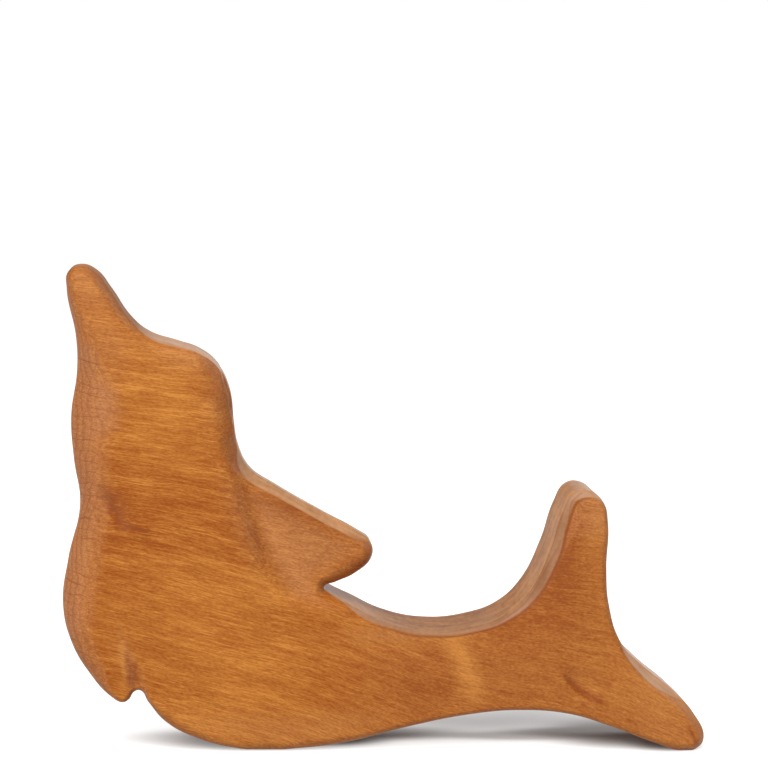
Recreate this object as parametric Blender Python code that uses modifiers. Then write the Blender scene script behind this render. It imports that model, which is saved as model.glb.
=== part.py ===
"""Dolphin figurine, one piece of solid wood, sawn from a board and rounded by hand.

The dolphin lies along X, beak at -X and tail at +X. The board's thickness lies along Y
and its two faces carry the same shaping, so one half is made and mirrored. It stands on
its belly and on the tip of its lower fluke, both sanded flat at Z = 0.
Sizes are in millimetres and turn into metres where the mesh is made.
"""

import math

import bpy
import numpy as np
from mathutils import Vector
from mathutils.geometry import delaunay_2d_cdt, interpolate_bezier

MM = 0.001

BOARD_THICKNESS = 24.0

# How far the sanding rounds each stretch of edge: across the face, and down the board's edge
BEAK_ROUNDING = (2.5, 5.0)
FOREHEAD_ROUNDING = (1.9, 2.2)
NAPE_ROUNDING = (5.2, 4.0)
FIN_TOP_ROUNDING = (1.9, 2.2)
FIN_TIP_ROUNDING = (2.4, 3.0)
FIN_UNDER_ROUNDING = (3.0, 4.5)
NOTCH_ROUNDING = (1.8, 1.8)
SADDLE_ROUNDING = (0.9, 1.2)
TAIL_CORNER_ROUNDING = (2.4, 2.0)
UPPER_FLUKE_ROUNDING = (1.8, 2.0)
TAIL_BACK_ROUNDING = (2.0, 2.4)
LOWER_FLUKE_ROUNDING = (2.0, 2.4)
ARCH_ROUNDING = (1.7, 2.0)
BELLY_ROUNDING = (2.4, 2.8)
FLIPPER_ROUNDING = (1.2, 1.8)
BREAST_ROUNDING = (4.5, 4.6)
CHEST_ROUNDING = (7.4, 6.4)
THROAT_ROUNDING = (9.0, 6.0)
CHIN_ROUNDING = (4.0, 5.5)

# The sawn outline as X and Z, from the beak over the back to the tail and home along the belly.
# Whatever reaches below Z = 0 is sanded away.
OUTLINE = (
    (BEAK_ROUNDING, ((-71.8, 111.7), (-68.2, 110.4), (-64.7, 106.2), (-60.2, 99.7))),
    (FOREHEAD_ROUNDING, ((-56.0, 96.1), (-49.0, 93.8), (-44.4, 92.3))),
    (NAPE_ROUNDING, ((-40.1, 89.2), (-37.1, 83.6), (-36.0, 76.0), (-35.0, 70.4))),
    (FIN_TOP_ROUNDING, ((-32.3, 65.1), (-25.9, 60.8), (-14.9, 54.7), (-6.5, 50.2))),
    (FIN_TIP_ROUNDING, ((-3.8, 48.0), (-3.5, 45.0))),
    (FIN_UNDER_ROUNDING, ((-7.4, 40.9), (-12.0, 38.9))),
    (NOTCH_ROUNDING, ((-14.7, 37.8), (-13.6, 36.8), (-8.0, 33.8))),
    (SADDLE_ROUNDING, ((0.0, 30.0), (10.0, 28.1), (20.0, 29.1), (27.6, 32.0))),
    (TAIL_CORNER_ROUNDING, ((33.1, 37.6), (37.6, 47.0))),
    (UPPER_FLUKE_ROUNDING, ((40.6, 56.5), (43.2, 60.7), (46.5, 61.2), (49.8, 58.7), (51.0, 54.0))),
    (TAIL_BACK_ROUNDING, ((50.9, 43.0), (51.7, 34.5), (54.7, 25.8))),
    (LOWER_FLUKE_ROUNDING, ((60.5, 19.6), (68.1, 13.4), (72.9, 8.3), (75.1, 3.0), (73.6, 0.6))),
    (LOWER_FLUKE_ROUNDING, ((70.5, -0.15),)),
    (ARCH_ROUNDING, ((63.0, 2.0), (52.8, 5.8), (43.0, 8.7), (31.0, 9.6), (19.0, 8.5), (5.0, 5.6))),
    (BELLY_ROUNDING, ((-10.0, 1.6), (-22.0, 0.15), (-28.0, -0.2), (-34.5, 0.3), (-43.3, 2.5), (-50.9, 6.4))),
    (FLIPPER_ROUNDING, ((-55.2, 11.4), (-56.9, 13.8), (-58.4, 13.6), (-59.6, 11.9))),
    (FLIPPER_ROUNDING, ((-61.0, 11.2), (-63.6, 12.4))),
    (BREAST_ROUNDING, ((-68.8, 17.6), (-73.1, 25.0))),
    (CHEST_ROUNDING, ((-75.1, 33.4), (-73.9, 44.3), (-71.3, 57.0))),
    (THROAT_ROUNDING, ((-72.8, 67.4), (-73.5, 77.0), (-72.2, 88.0))),
    (CHIN_ROUNDING, ((-72.5, 95.5),)),
    (BEAK_ROUNDING, ((-74.7, 106.6), (-74.4, 110.4))),
)

# The faces swell gently and fall away towards every edge
CROWN_DEPTH = 0.5
CROWN_REACH = 14.0

BEAK_THINNING = 1.5
BEAK_ROOT_HEIGHT = 92.0
BEAK_LENGTH = 20.0

# The dorsal fin is thinner than the body, which rolls down to it in a cove
FIN_COVE = ((-35.0, 71.0), (-31.5, 57.0), (-27.4, 45.0), (-22.5, 37.5), (-15.0, 32.5))
FIN_SET_BACK = 1.7
FIN_COVE_BODY_SIDE = 5.0
FIN_COVE_FIN_SIDE = 2.0
FIN_LENGTH = 25.0
FIN_TIP_THINNING = 2.4
FIN_FOOT_HEIGHT = 32.5
FIN_FOOT_FADE = 6.0
FIN_FRONT_FADE = 10.0

# A soft groove runs up from the notch behind the flipper
FLIPPER_GROOVE = ((-57.2, 12.8), (-58.3, 18.0), (-60.2, 25.5))
FLIPPER_GROOVE_DEPTH = 1.0
FLIPPER_GROOVE_REACH = 2.4

# One carved cut sets the lower fluke off from the tail, steep towards the body
TAIL_CUT = ((40.6, 18.4), (44.6, 14.8), (48.4, 11.8))
TAIL_CUT_DEPTH = 1.4
TAIL_CUT_STEEP_SIDE = 0.7
TAIL_CUT_GENTLE_SIDE = 5.5

# A rounding takes at most these shares of the wood inside the outline and of the board
ROUNDING_SHARE_OF_ROOM = 0.8
ROUNDING_SHARE_OF_BOARD = 0.45
ROUNDING_BLEND_PASSES = 3

# How closely the surface is divided
OUTLINE_STEP = 2.1
SPAN_DIVISIONS_LEAST = 2
ROUNDING_STEPS = 4
FACE_STEP = 3.6
CARVING_STEP = 1.3
CARVING_MARGIN = 3.4
CLEARANCE_SHARE_OF_STEP = 0.62
JOIN_DISTANCE = 0.05
TOLERANCE = 0.00001

WOOD_COLOUR = (0.49, 0.16, 0.031)
WOOD_ROUGHNESS = 0.42


def rise(share):
    """0 up to share 0, 1 from share 1, and an even S between them."""
    share = np.clip(share, 0.0, 1.0)
    return share * share * (3.0 - 2.0 * share)


def fade(share):
    return 1.0 - rise(share)


def clear_scene():
    for obj in list(bpy.data.objects):
        bpy.data.objects.remove(obj)


def new_collection(name):
    collection = bpy.data.collections.new(name)
    bpy.context.scene.collection.children.link(collection)
    return collection


def wood_material():
    material = bpy.data.materials.new("oiled_cherry_wood")
    material.use_nodes = True
    shader = material.node_tree.nodes["Principled BSDF"]
    shader.inputs["Base Color"].default_value = (*WOOD_COLOUR, 1.0)
    shader.inputs["Roughness"].default_value = WOOD_ROUGHNESS
    shader.inputs["Metallic"].default_value = 0.0
    return material


def outline_guide(collection):
    """The saw line, as a closed Bezier curve on the board's middle plane."""
    knots = [point for _, points in OUTLINE for point in points]
    curve = bpy.data.curves.new("saw_line", "CURVE")
    curve.dimensions = "3D"
    spline = curve.splines.new("BEZIER")
    spline.bezier_points.add(len(knots) - 1)
    for point, (x, z) in zip(spline.bezier_points, knots):
        point.co = Vector((x, 0.0, z)) * MM
        point.handle_left_type = "AUTO"
        point.handle_right_type = "AUTO"
    spline.use_cyclic_u = True
    guide = bpy.data.objects.new("saw_line", curve)
    guide.hide_render = True
    guide.display_type = "WIRE"
    collection.objects.link(guide)
    bpy.context.view_layer.update()
    return spline


def walk_outline(spline):
    """Points along the saw line in millimetres, with the rounding at each of them."""
    knots = spline.bezier_points
    roundings = [rounding for rounding, points in OUTLINE for _ in points]
    places, widths = [], []
    for index, knot in enumerate(knots):
        after = (index + 1) % len(knots)
        target = knots[after]
        span = (target.co - knot.co).length / MM
        count = round(max(SPAN_DIVISIONS_LEAST, span / OUTLINE_STEP))
        stretch = interpolate_bezier(knot.co, knot.handle_right, target.handle_left, target.co, count + 1)
        for step, point in enumerate(stretch[:-1]):
            blend = rise(step / count)
            places.append((point.x / MM, point.z / MM))
            widths.append([(1 - blend) * a + blend * b for a, b in zip(roundings[index], roundings[after])])
    places = np.array(places)
    places[:, 0] -= (places[:, 0].min() + places[:, 0].max()) / 2
    places[:, 1] = np.maximum(places[:, 1], 0.0)
    return places, np.array(widths)


def inward_normals(outline):
    """The outline runs clockwise, seen with Z up and X to the right, so the wood is on its right."""
    along = np.roll(outline, -1, axis=0) - np.roll(outline, 1, axis=0)
    along /= np.linalg.norm(along, axis=1)[:, None]
    return np.stack([along[:, 1], -along[:, 0]], axis=1)


def room_inside(outline, inward):
    """At each outline point, the radius of the largest circle that touches it from inside."""
    apart = outline[None, :, :] - outline[:, None, :]
    squared = (apart**2).sum(axis=2)
    ahead = (apart * inward[:, None, :]).sum(axis=2)
    radius = np.where(ahead > TOLERANCE, squared / np.maximum(2 * ahead, TOLERANCE), np.inf)
    return radius.min(axis=1)


def even_out(values):
    for _ in range(ROUNDING_BLEND_PASSES):
        values = (np.roll(values, 1) + 2 * values + np.roll(values, -1)) / 4
    return values


def gap_to(points, others):
    """Distance from each point to the nearest of the others."""
    return np.sqrt(((points[:, None, :] - others[None, :, :]) ** 2).sum(axis=2).min(axis=1))


def place_on_stroke(points, stroke):
    """Signed distance from a stroke, positive on its left, and the share of it passed, from 0 to 1."""
    stroke = np.array(stroke)
    lengths = np.linalg.norm(np.diff(stroke, axis=0), axis=1)
    best = np.full(len(points), np.inf)
    side = np.zeros(len(points))
    share = np.zeros(len(points))
    passed = 0.0
    for start, end, length in zip(stroke[:-1], stroke[1:], lengths):
        along = (end - start) / length
        offset = points - start
        forward = np.clip(offset @ along, 0.0, length)
        away = offset - forward[:, None] * along
        gap = np.linalg.norm(away, axis=1)
        turn = along[0] * offset[:, 1] - along[1] * offset[:, 0]
        nearer = gap < best
        best = np.where(nearer, gap, best)
        side = np.where(nearer, np.copysign(gap, turn), side)
        share = np.where(nearer, (passed + forward) / lengths.sum(), share)
        passed += length
    return side, share


def fin_set_back(points):
    """How far the dorsal fin's face lies below the body's."""
    side, _ = place_on_stroke(points, FIN_COVE)
    cove = FIN_SET_BACK * rise((side + FIN_COVE_BODY_SIDE) / (FIN_COVE_BODY_SIDE + FIN_COVE_FIN_SIDE))
    taper = FIN_TIP_THINNING * np.clip(side / FIN_LENGTH, 0.0, 1.0)
    foot = rise((points[:, 1] - FIN_FOOT_HEIGHT) / FIN_FOOT_FADE)
    front = fade(points[:, 0] / FIN_FRONT_FADE)
    return (cove + taper) * foot * front


def flipper_groove(points):
    side, share = place_on_stroke(points, FLIPPER_GROOVE)
    return FLIPPER_GROOVE_DEPTH * fade(share) * fade(np.abs(side) / FLIPPER_GROOVE_REACH)


def tail_cut(points):
    side, share = place_on_stroke(points, TAIL_CUT)
    slope = np.where(side < 0, fade(-side / TAIL_CUT_STEEP_SIDE), fade(side / TAIL_CUT_GENTLE_SIDE))
    return TAIL_CUT_DEPTH * np.sin(math.pi * share) * slope


def face_height(points, outline):
    """Distance of the carved face from the board's middle plane, before its edge is rounded."""
    height = BOARD_THICKNESS / 2 - CROWN_DEPTH * fade(gap_to(points, outline) / CROWN_REACH)
    height -= BEAK_THINNING * rise((points[:, 1] - BEAK_ROOT_HEIGHT) / BEAK_LENGTH)
    return height - fin_set_back(points) - flipper_groove(points) - tail_cut(points)


def rounding_rings(outline, widths):
    """Rings from the board's middle plane up its edge and over the rounding to the face."""
    inward = inward_normals(outline)
    room = ROUNDING_SHARE_OF_ROOM * room_inside(outline, inward)
    across = even_out(np.minimum(widths[:, 0], room))
    down = np.minimum(even_out(widths[:, 1]), ROUNDING_SHARE_OF_BOARD * BOARD_THICKNESS)
    rings = [np.column_stack([outline[:, 0], np.zeros(len(outline)), outline[:, 1]])]
    for step in range(ROUNDING_STEPS + 1):
        angle = 0.5 * math.pi * step / ROUNDING_STEPS
        ring = outline + inward * (across * (1 - math.cos(angle)))[:, None]
        depth = face_height(ring, outline) - down * (1 - math.sin(angle))
        rings.append(np.column_stack([ring[:, 0], -depth, ring[:, 1]]))
    return rings


def hex_grid(low, high, step):
    """Points of an even triangular grid over a box."""
    rows = np.arange(low[1], high[1], step * math.sqrt(3) / 2)
    columns = np.arange(low[0], high[0], step)
    x, z = np.meshgrid(columns, rows)
    x[1::2] += step / 2
    return np.column_stack([x.ravel(), z.ravel()])


def stroke_row(stroke, side):
    """Points along a stroke at the carving's spacing, moved to its left by side."""
    stroke = np.array(stroke)
    row = []
    for start, end in zip(stroke[:-1], stroke[1:]):
        length = np.linalg.norm(end - start)
        count = round(length / CARVING_STEP)
        left = np.array([start[1] - end[1], end[0] - start[0]]) / length
        row += [start + (end - start) * step / count + left * side for step in range(count)]
    return np.array(row[1:])


def face_points(border):
    """The points that carry the face inside its rounded edge, closer together round the carving."""
    low, high = border.min(axis=0), border.max(axis=0)
    fine = hex_grid(low, high, CARVING_STEP)
    coarse = hex_grid(low, high, FACE_STEP)
    carving = [np.array(FLIPPER_GROOVE), np.array(TAIL_CUT)]
    near = np.full(len(fine), np.inf)
    far = np.full(len(coarse), np.inf)
    for stroke in carving:
        near = np.minimum(near, np.abs(place_on_stroke(fine, stroke)[0]))
        far = np.minimum(far, np.abs(place_on_stroke(coarse, stroke)[0]))
    rows = np.vstack([stroke_row(TAIL_CUT, 0.0), stroke_row(TAIL_CUT, -TAIL_CUT_STEEP_SIDE)])
    fine = fine[near < CARVING_MARGIN]
    fine = fine[gap_to(fine, rows) > CLEARANCE_SHARE_OF_STEP * CARVING_STEP]
    coarse = coarse[far > CARVING_MARGIN + CLEARANCE_SHARE_OF_STEP * CARVING_STEP]
    points = np.vstack([rows, fine, coarse])
    spacing = np.where(np.arange(len(points)) < len(rows) + len(fine), CARVING_STEP, FACE_STEP)
    return points[gap_to(points, border) > CLEARANCE_SHARE_OF_STEP * spacing]


def half_mesh(outline, widths):
    """The half of the figurine in front of the middle plane, open along that plane."""
    rings = rounding_rings(outline, widths)
    count = len(outline)
    corners = np.vstack(rings)
    faces = []
    for ring in range(len(rings) - 1):
        for here in range(count):
            after = (here + 1) % count
            low, high = ring * count, (ring + 1) * count
            faces.append((low + here, high + here, high + after, low + after))
    border = rings[-1][:, [0, 2]]
    inner = face_points(border)
    flat = [Vector(point) for point in np.vstack([border, inner])]
    result = delaunay_2d_cdt(flat, [], [list(range(count))], 1, TOLERANCE)
    first = (len(rings) - 1) * count
    source = [first + origins[0] for origins in result[3]]
    faces += [tuple(source[corner] for corner in face) for face in result[2]]
    height = face_height(inner, outline)
    corners = np.vstack([corners, np.column_stack([inner[:, 0], -height, inner[:, 1]])])
    mesh = bpy.data.meshes.new("dolphin_body")
    mesh.from_pydata((corners * MM).tolist(), [], faces)
    mesh.validate()
    mesh.shade_smooth()
    return mesh


def build():
    clear_scene()
    figurine = new_collection("dolphin_figurine")
    guides = new_collection("guides")
    outline, widths = walk_outline(outline_guide(guides))
    body = bpy.data.objects.new("dolphin_body", half_mesh(outline, widths))
    body.data.materials.append(wood_material())
    figurine.objects.link(body)
    mirror = body.modifiers.new("other_face", "MIRROR")
    mirror.use_axis = (False, True, False)
    mirror.merge_threshold = JOIN_DISTANCE * MM
    guides.hide_render = True


build()
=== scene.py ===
import math

import bpy
import numpy as np
from mathutils import Matrix, Vector
from mathutils.geometry import delaunay_2d_cdt


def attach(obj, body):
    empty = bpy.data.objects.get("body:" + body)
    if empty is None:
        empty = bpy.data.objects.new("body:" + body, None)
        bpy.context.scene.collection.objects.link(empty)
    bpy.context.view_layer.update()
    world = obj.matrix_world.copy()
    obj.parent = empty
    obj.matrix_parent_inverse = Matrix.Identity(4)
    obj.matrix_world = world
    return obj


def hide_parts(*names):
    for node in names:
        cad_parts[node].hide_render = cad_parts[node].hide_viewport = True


# Dolphin figurine, sawn from one thick board of reddish fruit wood, rounded by hand and oiled.
# Sizes are in millimetres until a mesh or a node takes them.

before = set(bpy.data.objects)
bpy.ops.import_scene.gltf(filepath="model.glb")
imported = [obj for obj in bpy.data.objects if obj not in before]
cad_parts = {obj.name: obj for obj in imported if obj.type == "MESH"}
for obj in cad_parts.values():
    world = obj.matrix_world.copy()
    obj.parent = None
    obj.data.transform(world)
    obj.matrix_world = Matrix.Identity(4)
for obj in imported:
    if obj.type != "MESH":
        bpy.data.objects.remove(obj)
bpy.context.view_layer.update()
print("frame loaded:", sorted(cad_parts))

mm = 0.001
tiny = 1e-5       # keeps a division finite, and joins points that fall together
chunks = 24       # wide tables of distances are worked out in this many parts, to save memory

# Each stretch of the saw line: its name, how far the sanding reaches across the face and down
# the board's edge, how round it is (1 a flat bevel, 2 a quarter ellipse), and its points as x
# and z. It runs from the beak over the back to the tail and home along the belly. What reaches
# below z = 0 is sanded away.
sawLine = [
    ("beak", 2.3, 4.6, 1.8, [(-71.8, 111.7), (-68.2, 110.4), (-64.7, 106.2), (-60.2, 99.7)]),
    ("forehead", 1.9, 2.2, 1.6, [(-56.0, 96.1), (-49.0, 93.8), (-44.4, 92.3)]),
    ("nape", 4.8, 4.0, 1.6, [(-40.1, 89.2), (-37.1, 83.6), (-36.0, 76.0), (-35.0, 70.4)]),
    ("fin top", 1.6, 7.0, 1.1, [(-32.3, 65.1), (-25.9, 60.8), (-14.9, 54.7), (-6.5, 50.2)]),
    ("fin tip", 3.0, 3.6, 1.7, [(-3.8, 48.0), (-3.5, 45.0)]),
    ("fin underside", 4.2, 4.8, 1.9, [(-7.4, 40.9), (-12.0, 38.9)]),
    ("notch", 1.8, 1.8, 1.5, [(-14.7, 37.8), (-13.6, 36.8), (-8.0, 33.8)]),
    ("saddle", 0.9, 1.2, 1.3, [(0.0, 30.0), (10.0, 28.1), (20.0, 29.1), (27.6, 32.0)]),
    ("tail corner", 2.6, 2.2, 1.2, [(33.1, 37.6), (37.6, 47.0)]),
    ("upper fluke's front", 4.8, 2.6, 1.2, [(40.6, 56.5)]),
    ("upper fluke", 2.1, 2.2, 1.2, [(43.2, 60.7), (46.5, 61.2)]),
    ("tail back", 1.3, 1.8, 1.6, [(49.8, 58.7), (51.0, 54.0), (50.9, 43.0), (51.7, 34.5), (54.7, 25.8)]),
    ("lower fluke", 2.2, 5.6, 1.1, [(60.5, 19.6), (68.1, 13.4), (72.9, 8.3)]),
    ("fluke tip", 2.0, 2.4, 1.2, [(75.1, 3.0), (73.6, 0.6), (70.5, -0.15)]),
    ("arch", 1.4, 1.8, 1.8, [(63.0, 2.0), (52.8, 5.8), (43.0, 8.7), (31.0, 9.6), (19.0, 8.5), (5.0, 5.6)]),
    ("belly", 2.4, 2.8, 1.8, [(-10.0, 1.6), (-22.0, 0.15), (-28.0, -0.2), (-34.5, 0.3), (-43.3, 2.5),
                              (-50.9, 6.4)]),
    ("flipper", 1.2, 1.8, 1.7, [(-55.2, 11.4), (-56.9, 13.8), (-58.4, 13.6), (-59.6, 11.9),
                                (-61.0, 11.2), (-63.6, 12.4)]),
    ("breast", 5.0, 4.6, 1.5, [(-68.8, 17.6), (-73.1, 25.0)]),
    ("chest", 8.0, 6.4, 1.45, [(-75.1, 33.4), (-73.9, 44.3)]),
    ("neck", 6.4, 5.6, 1.45, [(-71.3, 57.0)]),
    ("lower throat", 9.0, 6.0, 1.45, [(-72.8, 67.4)]),
    ("throat", 10.5, 6.0, 1.45, [(-73.5, 77.0), (-72.2, 88.0)]),
    ("chin", 5.0, 5.5, 1.6, [(-72.5, 95.5)]),
    ("beak", 2.6, 4.6, 1.8, [(-74.7, 106.6), (-74.4, 110.4)]),
]

board = {
    "thickness": 24.0,
    "crownDepth": 0.5,          # the faces swell gently and fall away towards every edge
    "crownReach": 14.0,
    "roundingOfRoom": 0.8,      # a rounding takes at most this share of the wood inside the saw line
    "roundingOfBoard": 0.45,
    "blendLength": 2.6,         # over which the sanding changes width along the edge
    "curveSteps": 60,           # from one point of the saw line to the next, before it is read evenly
    "pointStep": 0.6,
    "faceStep": 0.62,
    "rowGap": 0.866,            # of the faceStep, between rows of the face's points
    "clearOfEdge": 0.6,         # of the pointStep, from the face's points to its edge
    "wallSteps": 6,
    "roundingSteps": 12,
    "sandingWander": 0.07,      # the hand's share of a rounding's width, to either side
    "wanderWaves": [(1.0, 17, 1.0), (0.7, 29, 2.2), (0.5, 53, 0.0)],   # height, waves all round, start
    "handleDivisor": 2.5614,    # gives the curve through the points its easy handles
}

beakTaper = {"thinning": 1.5, "rootHeight": 92.0, "length": 20.0}

finCarving = {
    "cove": [(-35.0, 71.0), (-31.5, 57.0), (-27.4, 45.0), (-22.5, 37.5), (-15.0, 32.5)],
    "setBack": 1.7,
    "bodySide": 5.0,            # how far the cove's slope reaches into the body, and into the fin
    "finSide": 2.0,
    "length": 25.0,             # over which the fin grows thinner by tipThinning
    "tipThinning": 2.4,
    "footHeight": 32.5,         # the carving runs out at the fin's foot
    "footFade": 6.0,
    "frontFade": 10.0,          # and past x = 0, so that it leaves the tail alone
    "floorDepth": 0.55,         # the cove's own hollow, below the fin's face
    "floorReach": 3.6,
    "floorEnd": (37.0, 10.0),   # height where the hollow runs out, and over what height
}

flipperGroove = {
    "stroke": [(-57.2, 12.8), (-58.3, 18.0), (-60.2, 25.5)],
    "depth": 1.0,
    "reach": 2.4,
}

# Knife cuts with a steep wall on the right of the stroke and a long slope on its left
tailCut = {
    "stroke": [(40.6, 18.4), (44.6, 14.8), (48.4, 11.8)],
    "depth": 1.0,
    "steepSide": 0.8,
    "gentleSide": 5.5,
}

neckCut = {
    "stroke": [(-67.4, 62.0), (-64.2, 56.4), (-60.4, 50.8)],
    "depth": 0.80,
    "steepSide": 1.3,
    "gentleSide": 5.0,
}


# 0 up to share 0, 1 from share 1, and 3 share squared less 2 share cubed between them
def rise(share):
    share = np.clip(share, 0.0, 1.0)
    return share * share * (3.0 - 2.0 * share)


# The same rise for values from start on, over the length
def riseFrom(values, start, length):
    return rise((values - start) / length)


# 1 less rise
def fade(share):
    return 1.0 - rise(share)


# Each vector divided by its own length
def unit(vectors):
    return vectors / np.linalg.norm(vectors, axis=-1, keepdims=True)


# A cubic curve through the points. At each point it heads along the sum of the unit vectors
# from the point before and to the point after. It is then read at even steps of length, with
# the sanding's across, down and roundness blended by rise between points. Sine waves around
# the outline make the hand's wander.
def walkSawLine():
    knots = np.array([point for *_, points in sawLine for point in points])
    sanding = np.array([values for _, *values, points in sawLine for _ in points])
    nextKnots, nextSanding = np.roll(knots, -1, axis=0), np.roll(sanding, -1, axis=0)
    span = np.linalg.norm(nextKnots - knots, axis=1, keepdims=True)
    toNext = (nextKnots - knots) / span
    heading = unit(toNext + np.roll(toNext, 1, axis=0))
    reach = span / board["handleDivisor"]
    leaving = knots + heading * reach
    arriving = nextKnots - np.roll(heading, -1, axis=0) * reach
    t = np.linspace(0.0, 1.0, board["curveSteps"], endpoint=False)[None, :, None]
    curve = (
        (1 - t) ** 3 * knots[:, None]
        + 3 * (1 - t) ** 2 * t * leaving[:, None]
        + 3 * (1 - t) * t**2 * arriving[:, None]
        + t**3 * nextKnots[:, None]
    ).reshape(-1, 2)
    sanding = (sanding[:, None] + (nextSanding - sanding)[:, None] * rise(t)).reshape(-1, 3)
    passed = np.append(0.0, np.cumsum(np.linalg.norm(curve - np.roll(curve, -1, axis=0), axis=1)))
    table = np.column_stack([curve, sanding])
    table = np.vstack([table, table[:1]])
    count = round(passed[-1] / board["pointStep"])
    even = np.linspace(0.0, passed[-1], count, endpoint=False)
    table = np.column_stack([np.interp(even, passed, column) for column in table.T])
    outline, sanding = table[:, :2], table[:, 2:]
    outline[:, 0] -= (outline[:, 0].min() + outline[:, 0].max()) / 2
    outline[:, 1] = np.maximum(outline[:, 1], 0.0)
    turn = even / passed[-1] * 2 * math.pi
    wander = sum(height * np.sin(waves * turn + start) for height, waves, start in board["wanderWaves"])
    sanding[:, 0] *= 1 + board["sandingWander"] * wander
    return outline, sanding


# The saw line runs clockwise, so the wood is on the right of each step along it
def inwardNormals(outline):
    along = unit(np.roll(outline, -1, axis=0) - np.roll(outline, 1, axis=0))
    return np.stack([along[:, 1], -along[:, 0]], axis=1)


# The radius of the largest circle that touches the line from inside: the least over all other
# points of their distance squared over twice their distance ahead of the normal
def roomInside(outline, inward):
    apart = outline[None] - outline[:, None]
    ahead = (apart * inward[:, None]).sum(axis=2)
    squared = (apart**2).sum(axis=2)
    return np.where(ahead > tiny, squared / np.maximum(2 * ahead, tiny), np.inf).min(axis=1)


# Each value blended with its two neighbours, so many times that it evens out over blendLength
def evenOut(values):
    passes = round(2 * (board["blendLength"] / board["pointStep"]) ** 2)
    for _ in range(passes):
        values = (np.roll(values, 1) + 2 * values + np.roll(values, -1)) / 4
    return values


# Signed distance from a stroke, positive on its left, and the share of it passed, from 0 to 1
def placeOnStroke(points, stroke):
    stroke = np.array(stroke)
    lengths = np.linalg.norm(np.diff(stroke, axis=0), axis=1)
    best = np.full(len(points), np.inf)
    side, share = np.zeros(len(points)), np.zeros(len(points))
    passed = 0.0
    for start, end, length in zip(stroke[:-1], stroke[1:], lengths):
        along = (end - start) / length
        offset = points - start
        forward = np.clip(offset @ along, 0.0, length)
        gap = np.linalg.norm(offset - forward[:, None] * along, axis=1)
        turn = along[0] * offset[:, 1] - along[1] * offset[:, 0]
        nearer = gap < best
        best = np.where(nearer, gap, best)
        side = np.where(nearer, np.copysign(gap, turn), side)
        share = np.where(nearer, (passed + forward) / lengths.sum(), share)
        passed += length
    return side, share


# A smooth stand-in for the distance to the saw line, with no crease midway between two edges.
# Beside a straight line the sum of step over distance to the fourth is half pi over distance
# cubed, which is solved for the distance. The square of half a step keeps it finite on the line.
def softDistance(points, outline):
    step = board["pointStep"]
    total = np.zeros(len(points))
    for part in np.array_split(np.arange(len(points)), chunks):
        squared = ((points[part, None] - outline[None]) ** 2).sum(axis=2) + 0.25 * step**2
        total[part] = (step / squared**2).sum(axis=1)
    return (0.5 * math.pi / total) ** (1 / 3)


# How far the dorsal fin's face lies below the body's: a cove with its own hollow along the
# stroke, then an even taper to the tip
def finSetBack(points):
    fin = finCarving
    side, _ = placeOnStroke(points, fin["cove"])
    cove = fin["setBack"] * rise((side + fin["bodySide"]) / (fin["bodySide"] + fin["finSide"]))
    hollow = fin["floorDepth"] * fade(np.abs(side) / fin["floorReach"])
    hollow = hollow * riseFrom(points[:, 1], *fin["floorEnd"])
    taper = fin["tipThinning"] * np.clip(side / fin["length"], 0.0, 1.0)
    foot = riseFrom(points[:, 1], fin["footHeight"], fin["footFade"])
    return (cove + hollow + taper) * foot * fade(points[:, 0] / fin["frontFade"])


# Deepest where the stroke starts at the edge, and falling off along it and to both sides
def flipperGrooveDepth(points):
    side, share = placeOnStroke(points, flipperGroove["stroke"])
    return flipperGroove["depth"] * fade(share) * fade(np.abs(side) / flipperGroove["reach"])


# Deepest midway along the stroke, and falling off on each side by its own reach
def knifeCutDepth(points, cut):
    side, share = placeOnStroke(points, cut["stroke"])
    steep, gentle = fade(-side / cut["steepSide"]), fade(side / cut["gentleSide"])
    return cut["depth"] * np.sin(math.pi * share) * np.where(side < 0, steep, gentle)


# Distance of the carved face from the board's middle plane, before its edge is rounded: half the
# thickness less the crown's fall, the beak's taper and every carving
def faceHeight(points, outline):
    crown = board["crownDepth"] * fade(softDistance(points, outline) / board["crownReach"])
    beak = beakTaper["thinning"] * riseFrom(points[:, 1], beakTaper["rootHeight"], beakTaper["length"])
    carved = finSetBack(points) + flipperGrooveDepth(points)
    carved = carved + knifeCutDepth(points, tailCut) + knifeCutDepth(points, neckCut)
    return board["thickness"] / 2 - crown - beak - carved


# Points of an even triangular grid over a box: every second row is moved by half a step
def hexGrid(low, high, step):
    rowStep = step * board["rowGap"]
    x, z = np.meshgrid(np.arange(low[0], high[0], step), np.arange(low[1], high[1], rowStep))
    x[1::2] += step / 2
    return np.column_stack([x.ravel(), z.ravel()])


# Rings from the middle plane up the wall, then over a rounding whose half axes are the sanding's
# across and down: inset across (1 - cos angle ^ (2 / roundness)), and depth face height - down
# (1 - sin angle ^ (2 / roundness)). Border is the way in from the rounding's inner edge, less
# than 0 outside it. Facing is x of the way out of the wood, -1 where the edge faces forwards.
def rimRings(outline, sanding):
    inward = inwardNormals(outline)
    room = board["roundingOfRoom"] * roomInside(outline, inward)
    across = evenOut(np.minimum(sanding[:, 0], room))
    down = np.minimum(evenOut(sanding[:, 1]), board["roundingOfBoard"] * board["thickness"])
    power = 2.0 / evenOut(sanding[:, 2])
    wallTop = faceHeight(outline, outline) - down
    rings, border = [], []
    for step in range(board["wallSteps"]):
        depth = wallTop * step / board["wallSteps"]
        rings.append(np.column_stack([outline[:, 0], -depth, outline[:, 1]]))
        border.append(-across)
    for step in range(board["roundingSteps"] + 1):
        angle = 0.5 * math.pi * step / board["roundingSteps"]
        left = abs(math.cos(angle)) ** power
        ring = outline + inward * (across * (1 - left))[:, None]
        depth = faceHeight(ring, outline) - down * (1 - math.sin(angle) ** power)
        rings.append(np.column_stack([ring[:, 0], -depth, ring[:, 1]]))
        border.append(-across * left)
    return np.array(rings), np.concatenate(border), across, -inward[:, 0]


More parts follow.
